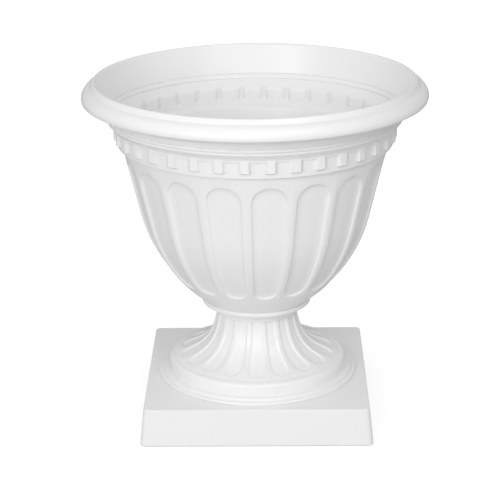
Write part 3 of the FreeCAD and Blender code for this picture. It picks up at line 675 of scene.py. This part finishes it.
# One period's columns in degrees from the middle of a block, and the share to which each column is raised.
DENTIL_ANGLES = (-5, -3.4, -2.05, -1.65, -1.45, 0, 1.45, 1.65, 2.05, 3.4)
DENTIL_SHARES = (0, 0, 0.03, 0.97, 1, 1, 1, 0.97, 0.03, 0)
POCKET_ANGLES = (-5, -3, -1.25, -1.02, -0.88, 0, 0.88, 1.02, 1.25, 3)


def belly_profile():
    """The outside of the belly: an arc from the bead that runs smoothly into a straight, leaning wall.

    The arc's centre lies square to the wall at the tangent point, as far from it as from the arc's foot.
    """
    foot, tangent, top = np.array(BELLY_FOOT), np.array(BELLY_TANGENT), np.array(BELLY_TOP)
    along = unit(top - tangent)
    inward = np.array((-along[1], along[0]))
    reach = foot - tangent
    radius = reach @ reach / 2 / (reach @ inward)
    centre = tangent + inward * radius
    start = math.atan2(*(foot - centre)[::-1])
    end = math.atan2(*(tangent - centre)[::-1])
    angle = np.linspace(start, end, TABLE_SIZE)
    arc = centre + radius * np.stack((np.cos(angle), np.sin(angle)), axis=1)
    wall = tangent + np.linspace(0, 1, TABLE_SIZE)[1:, None] * (top - tangent)
    return Profile(np.concatenate((arc, wall)))


def flute_cell(belly):
    """One flute of the bowl with half a land on each side, as nested closed loops.

    Each loop runs along the foot, up the right side, over the top and down the left side. The outermost
    is the cell's own border; then come the land, the soft wall, and the floor, which shrinks to a line.
    """
    half_cell = FULL_TURN / FLUTES / 2
    half_flute = half_cell * FLUTE_SHARE
    columns = BOWL_COLUMNS // FLUTES
    foot_tip, foot_shoulder = belly.at_height(FLUTE_FOOT)
    top_shoulder, top_tip = belly.at_height(FLUTE_TOP)
    side = np.linspace(0, 1, FLUTE_SIDE_STEPS + 1)[1:-1]
    across = np.linspace(-1, 1, columns + 1)
    low_turn = math.pi + np.linspace(0, math.pi, columns + 1)
    high_turn = np.linspace(0, math.pi, columns + 1)
    one = np.ones(side.shape)

    def loop(offset, shrink):
        """Angles and places of the flute's outline, moved by an offset and shrunk to its middle line."""
        sides = foot_shoulder + side * (top_shoulder - foot_shoulder)
        low = foot_shoulder + (foot_shoulder - foot_tip + offset) * shrink * np.sin(low_turn)
        high = top_shoulder + (top_tip - top_shoulder + offset) * shrink * np.sin(high_turn)
        place = np.concatenate((low, sides, high, sides[::-1]))
        share = np.concatenate((np.cos(low_turn), one, np.cos(high_turn), -one))
        return (half_flute + offset / belly.radius(place)) * shrink * share, place

    foot, top = belly.at_height((CELL_FOOT, CELL_TOP))
    sides = foot + side * (top - foot)
    border = np.concatenate((across, one, -across, -one)) * half_cell
    level = np.ones(across.shape)
    border_place = np.concatenate((foot * level, sides, top * level, sides[::-1]))
    offsets, depths = wall_rows(FLUTE_STEP_WIDTH, FLUTE_STEP_DEPTH, FLUTE_RUN_OUT_WIDTH,
                                FLUTE_RUN_OUT_DEPTH)
    outline, outline_place = loop(offsets[0], 1.0)
    rows = []
    for share in np.linspace(0, 1, LAND_ROWS + 1)[:-1]:
        angle = border + share * (outline - border)
        place = border_place + share * (outline_place - border_place)
        rows.append(belly.surface(angle, place, LAND_SAG * share ** 2))
    for offset, depth in zip(offsets, depths):
        rows.append(belly.surface(*loop(offset, 1.0), LAND_SAG + depth))
    for shrink in np.linspace(1, 0, FLOOR_STEPS + 1)[1:]:
        rows.append(belly.surface(*loop(offsets[-1], shrink), FLUTE_DEPTH))
    return np.stack(rows)


def block_band(rows, raised_radius, column_angles):
    """A band of a frieze: rows (radius, height, share), with a block in the middle of each of its periods.

    A point lies between the row's radius and the raised radius, by the row's share times the column's.
    """
    rows = np.array(rows)
    period = np.radians(column_angles)
    angles = np.concatenate([start + period for start in even_angles(DENTILS, BOWL_TURN)])
    raised = np.tile(DENTIL_SHARES, DENTILS)[None, :] * rows[:, 2:]
    base = rows[:, :1] * MM
    return around(base + raised * (raised_radius - base), angles[None, :], rows[:, 1:2] * MM)


def bowl_grids():
    """All the sheets of the bowl's skin, from the spigot up the outside and down the inside."""
    half_period = FULL_TURN / DENTILS / 2
    angles = even_angles(BOWL_COLUMNS, BOWL_TURN - half_period)
    belly = belly_profile()
    lower_places = np.linspace(0, belly.at_height(CELL_FOOT), BELLY_FOOT_ROWS)
    inside_places = np.linspace(belly.length, 0, INSIDE_ROWS)
    panel = block_band(PANEL_ROWS, DENTIL_FACE, DENTIL_ANGLES)
    pockets = block_band(POCKET_ROWS, POCKET_FLOOR, POCKET_ANGLES)
    inside = belly.surface(angles[None, :], inside_places[:, None], SHELL_DEPTH)
    spigot, ledge, slope, crest, inside_top, sill, well = [
        turned(rounded_line(corners, MM), angles)
        for corners in (FOOT_CORNERS, LEDGE_CORNERS, SLOPE_CORNERS, CREST_CORNERS, INSIDE_CORNERS,
                        SILL_CORNERS, WELL_CORNERS)]
    lip = turned(smooth_line(LIP_KNOTS, LIP_ROWS, MM), angles)

    # Neighbouring sheets get the same border, so that they weld.
    ledge[-1] = panel[0]
    slope[0] = panel[-1]
    inside_top[-1] = pockets[0]
    sill[0] = pockets[-1]
    inside[0] = sill[-1]
    well[0] = inside[-1]

    grids = [(copy, True) for copy in spun(flute_cell(belly), FLUTES, BOWL_TURN)]
    sheets = [spigot, belly.surface(angles[None, :], lower_places[:, None], 0.0), ledge, panel, slope, lip,
              crest, inside_top, pockets, sill, inside, well]
    spigot_bore = FOOT_CORNERS[0][0] * MM
    sheets += holed_plate((SEAT_HEIGHT, FLOOR_TOP), (spigot_bore, FLOOR_EDGE), BOWL_DRAIN, BOWL_TURN,
                          BOWL_COLUMNS)
    return grids + [(sheet, True) for sheet in sheets]


finished_piece("bowl_moulding", bowl_grids(), white_plastic, "bowl", "bowl")

# Seal washer
# A soft black rubber ring on the bowl's floor, cut from sheet. The clamp washer presses it down, so that
# no water runs out along the bolt.

SEAL_EDGE = 0.7 * MM
SEAL_COLOURS = ((0.018, 0.018, 0.018), (0.05, 0.05, 0.048))
SEAL_GLOSS = (0.62, 0.2, 0.12)
SEAL_SCALES = (70.0, 380.0, 1900.0)
SEAL_GRAIN_DEPTH = 0.05 * MM

seal_rubber = surface_material("matt_black_rubber", SEAL_COLOURS, SEAL_GLOSS, SEAL_SCALES,
                               SEAL_GRAIN_DEPTH, {})
finished_piece("seal_washer_rubber", [(washer_grid("seal_washer", BOLT_HOLE, SEAL_EDGE, SEAL_EDGE), True)],
               seal_rubber, "bowl", "seal_washer")

# Clamp washer and wing nut
# A wide stamped washer and a cast wing nut, both zinc-plated steel. The nut's collar carries the washer,
# and two round-ended wings let a hand tighten it on the bolt.

CLAMP_HOLE = 6.3 * MM
NUT_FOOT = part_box("clamp_washer")[1][2]
NUT_COLUMNS = 72
WING_TIP = (14.5 * MM, NUT_FOOT + 11.5 * MM)
WING_ROOT = (4.6 * MM, NUT_FOOT + 5.6 * MM)
WING_ROUNDING = 4.5 * MM
WING_HALF_THICKNESS = 1.6 * MM
WING_FLATNESS = 0.3
WING_TURNS = 17
WING_ROWS = 13
WING_COUNT = 2

# The nut's profile in millimetres from the washer's top: radius, height and rounding.
NUT_CORNERS = ((4.2, 4, 0), (4.2, -0.8, 0.2), (4.9, -1.5, 0.2), (6, -1.5, 0.3), (6, 0, 0.15), (8, 0, 0.5),
               (6.5, 9, 0.9), (4.9, 9, 0.2), (4.2, 8.3, 0.2), (4.2, 4, 0))


def wing_grid():
    """One wing: a plate with a round-ended outline and soft edges, swelling evenly to both faces.

    The outline is two half circles about the wing's root and tip. A row's reach from their line is the
    cosine of its latitude, and its thickness the sine, both raised to a small power, which flattens them.
    """
    root, tip = np.array(WING_ROOT), np.array(WING_TIP)
    lean = math.atan2(*(tip - root)[::-1])
    half = np.linspace(-math.pi / 2, math.pi / 2, WING_TURNS)
    spoke = np.concatenate((half, half + math.pi))[None, :]
    middle = np.repeat(np.stack((tip, root)), WING_TURNS, axis=0)[None]
    latitude = np.linspace(-math.pi / 2, math.pi / 2, WING_ROWS)[:, None]
    reach = WING_ROUNDING * np.abs(np.cos(latitude)) ** WING_FLATNESS
    thick = WING_HALF_THICKNESS * np.sign(latitude) * np.abs(np.sin(latitude)) ** WING_FLATNESS
    x = middle[..., 0] + reach * np.cos(spoke + lean)
    z = middle[..., 1] + reach * np.sin(spoke + lean)
    return np.stack((x, np.broadcast_to(thick, x.shape), z), axis=-1)


def nut_grids():
    """The nut's body with its bore, a profile carried round the axis, and its wings."""
    corners = np.array(NUT_CORNERS) * MM + np.array((0, NUT_FOOT, 0))
    body = turned(rounded_line(corners), even_angles(NUT_COLUMNS))
    wings = spun(wing_grid(), WING_COUNT, BOWL_TURN)
    return [(body, True)] + [(wing, True) for wing in wings]


finished_piece("clamp_washer_stamped",
               [(washer_grid("clamp_washer", CLAMP_HOLE, WASHER_EDGE, WASHER_BURR), True)],
               zinc_steel, "clamp_washer", "clamp_washer")
finished_piece("wing_nut_cast", nut_grids(), zinc_steel, "wing_nut", "wing_nut")

# Drain plugs
# Three bungs of soft grey rubber in the holes of the bowl's floor. Each has a tapered shank, a flange that
# lies on the floor and a tab with an eye, by which a finger pulls it out.

PLUG_COLUMNS = 48
TAB_COLUMNS = 64
TAB_HALF = 4.2 * MM
TAB_HALF_THICKNESS = 1.1 * MM
TAB_SINK = 4.4 * MM
EYE_RADIUS = 2.0 * MM
PLUG_COLOURS = ((0.22, 0.23, 0.23), (0.33, 0.335, 0.33))
PLUG_GLOSS = (0.5, 0.2, 0.12)
PLUG_SCALES = (70.0, 380.0, 1900.0)
PLUG_GRAIN_DEPTH = 0.04 * MM

# The plug's profile in millimetres from the bowl's floor, and the tab's section in shares of its width from
# the eye to the edge and of its half thickness.
PLUG_CORNERS = ((0, -9, 0), (4.2, -9, 0.9), (4.7, -4, 0.5), (4.7, 0, 0.3), (7.4, 0, 0.5), (7.4, 2.5, 1.0),
                (2.5, 2.7, 0.5), (0, 2.7, 0))
TAB_SECTION_SHARES = ((0, 0, 0), (0, 1, 0.25), (1, 1, 0.4), (1, -1, 0.4), (0, -1, 0.25), (0, 0, 0))


def tab_grid(eye_height):
    """A flat tab about its eye: a rounded section from the eye's rim to the outline, carried round the eye.

    The outline is a half circle above the eye and a square end below it, sunk into the flange.
    """
    turn = even_angles(TAB_COLUMNS)
    across, upward = np.cos(turn), np.sin(turn)
    box_reach = TAB_HALF / np.maximum(np.abs(across), TAB_HALF / TAB_SINK * np.abs(upward))
    outline = np.where(upward >= 0, TAB_HALF, box_reach)
    section = rounded_line(TAB_SECTION_SHARES)
    reach = EYE_RADIUS + section[:, :1] * (outline - EYE_RADIUS)[None, :]
    thick = np.broadcast_to(section[:, 1:] * TAB_HALF_THICKNESS, reach.shape)
    return np.stack((reach * across, thick, eye_height + reach * upward), axis=-1)


def plug_grids(node):
    """A plug's turned body and its tab, set where its node is and turned with the bowl."""
    low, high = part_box(node)
    body = turned(rounded_line(np.array(PLUG_CORNERS) * MM + np.array((0, FLOOR_TOP, 0))),
                  even_angles(PLUG_COLUMNS))
    tab = spun(tab_grid(high[2] - TAB_HALF), 1, BOWL_TURN)[0]
    place = np.array(((low[0] + high[0]) / 2, (low[1] + high[1]) / 2, 0))
    return [(body + place, True), (tab + place, True)]


plug_rubber = surface_material("soft_grey_rubber", PLUG_COLOURS, PLUG_GLOSS, PLUG_SCALES,
                               PLUG_GRAIN_DEPTH, {})
for number in range(1, DRAIN_COUNT + 1):
    plug_node = "drain_plug_%d" % number
    finished_piece(plug_node + "_rubber", plug_grids(plug_node), plug_rubber,
                   plug_node, plug_node)

# Stage, light and camera
# A plain pale floor that runs on into white, an even sky and three large soft lamps in front, and a long
# lens that looks down a little into the bowl.

# Lengths are in metres here, and the lens and its sensor in millimetres.
FLOOR_REACH = 7.0
FLOOR_COLOUR = (0.6, 0.6, 0.6, 1)
GLOW_NEAR = 0.58
GLOW_FAR = 1.0
GLOW_START = 0.15
GLOW_END = 0.6
SKY_STRENGTH = 0.56
LAMP_DISTANCE = 2.6
LAMP_WIDTH = 1.1
LAMP_TARGET = np.array((0, 0, 0.24))
CAMERA_PLACE = np.array((0.0209, -2.0249, 0.889))
CAMERA_PITCH = math.radians(18.96)
CAMERA_HEADING = math.radians(-0.80)
CAMERA_ROLL = math.radians(-0.581)
LENS_LENGTH = 130.0
SENSOR_WIDTH = 36.0


def seen_ray(wire):
    """One for a ray straight from the camera, and nothing for the light that falls on the planter."""
    return wire.node("ShaderNodeLightPath", "Is Camera Ray", {}, {})


floor_mesh = bpy.data.meshes.new("floor")
floor_corners = [(x * FLOOR_REACH, y * FLOOR_REACH, 0) for x, y in ((-1, -1), (1, -1), (1, 1), (-1, 1))]
floor_mesh.from_pydata(floor_corners, [], [(0, 1, 2, 3)])
floor = bpy.data.objects.new("floor", floor_mesh)
bpy.context.scene.collection.objects.link(floor)
floor_material = bpy.data.materials.new("pale_floor")
floor_material.use_nodes = True
floor_shader = floor_material.node_tree.nodes["Principled BSDF"]
floor_shader.inputs["Base Color"].default_value = FLOOR_COLOUR
floor_shader.inputs["Roughness"].default_value = 1.0
floor_shader.inputs["Emission Strength"].default_value = 1.0
floor_wire = Wire(floor_material.node_tree)
floor_place = floor_wire.node("ShaderNodeTexCoord", "Object", {}, {})
floor_distance = floor_wire.node("ShaderNodeVectorMath", "Value", {"operation": "LENGTH"}, {0: floor_place})
glow_range = {"Value": floor_distance, "From Min": GLOW_START, "From Max": GLOW_END,
              "To Min": GLOW_NEAR, "To Max": GLOW_FAR}
floor_glow = floor_wire.node("ShaderNodeMapRange", 0, {"interpolation_type": "SMOOTHSTEP"}, glow_range)
(floor_glow * seen_ray(floor_wire)).feed(floor_shader.inputs["Emission Color"])
floor_mesh.materials.append(floor_material)

world = bpy.data.worlds.new("studio")
bpy.context.scene.world = world
world.use_nodes = True
sky = world.node_tree.nodes["Background"]
sky.inputs["Color"].default_value = (1, 1, 1, 1)
(SKY_STRENGTH + (1 - SKY_STRENGTH) * seen_ray(Wire(world.node_tree))).feed(sky.inputs["Strength"])


def turned_to(columns):
    """A rotation whose columns are the three given directions."""
    return mathutils.Matrix([[column[row] for column in columns] for row in range(3)]).to_4x4()


def soft_lamp(name, heading, elevation, power):
    """A square lamp on a sphere about the planter, facing it; heading and elevation are in degrees."""
    lamp = bpy.data.lights.new(name, "AREA")
    lamp.size = LAMP_WIDTH
    lamp.energy = power
    aside, upward = math.radians(heading), math.radians(elevation)
    place = np.array((math.sin(aside) * math.cos(upward), -math.cos(aside) * math.cos(upward),
                      math.sin(upward)))
    side = unit(np.cross((0, 0, 1), place))
    stand = bpy.data.objects.new(name, lamp)
    stand.matrix_world = turned_to((side, np.cross(place, side), place))
    stand.location = LAMP_TARGET + place * LAMP_DISTANCE
    bpy.context.scene.collection.objects.link(stand)


# Each lamp's name, heading, elevation and power in watts.
LAMPS = (("left_lamp", -27, 20, 17.5), ("front_lamp", 0, 20, 8.5), ("right_lamp", 27, 40, 10.0))
for lamp_setting in LAMPS:
    soft_lamp(*lamp_setting)

forward = np.array((math.sin(CAMERA_HEADING) * math.cos(CAMERA_PITCH),
                    math.cos(CAMERA_HEADING) * math.cos(CAMERA_PITCH), -math.sin(CAMERA_PITCH)))
level = np.array((math.cos(CAMERA_HEADING), -math.sin(CAMERA_HEADING), 0))
upright = np.cross(level, forward)
right = math.cos(CAMERA_ROLL) * level + math.sin(CAMERA_ROLL) * upright
above = -math.sin(CAMERA_ROLL) * level + math.cos(CAMERA_ROLL) * upright
camera_data = bpy.data.cameras.new("camera")
camera_data.lens = LENS_LENGTH
camera_data.sensor_width = SENSOR_WIDTH
camera = bpy.data.objects.new("camera", camera_data)
camera.matrix_world = turned_to((right, above, -forward))
camera.location = CAMERA_PLACE
bpy.context.scene.collection.objects.link(camera)
bpy.context.scene.camera = camera
bpy.context.scene.view_settings.view_transform = "Standard"
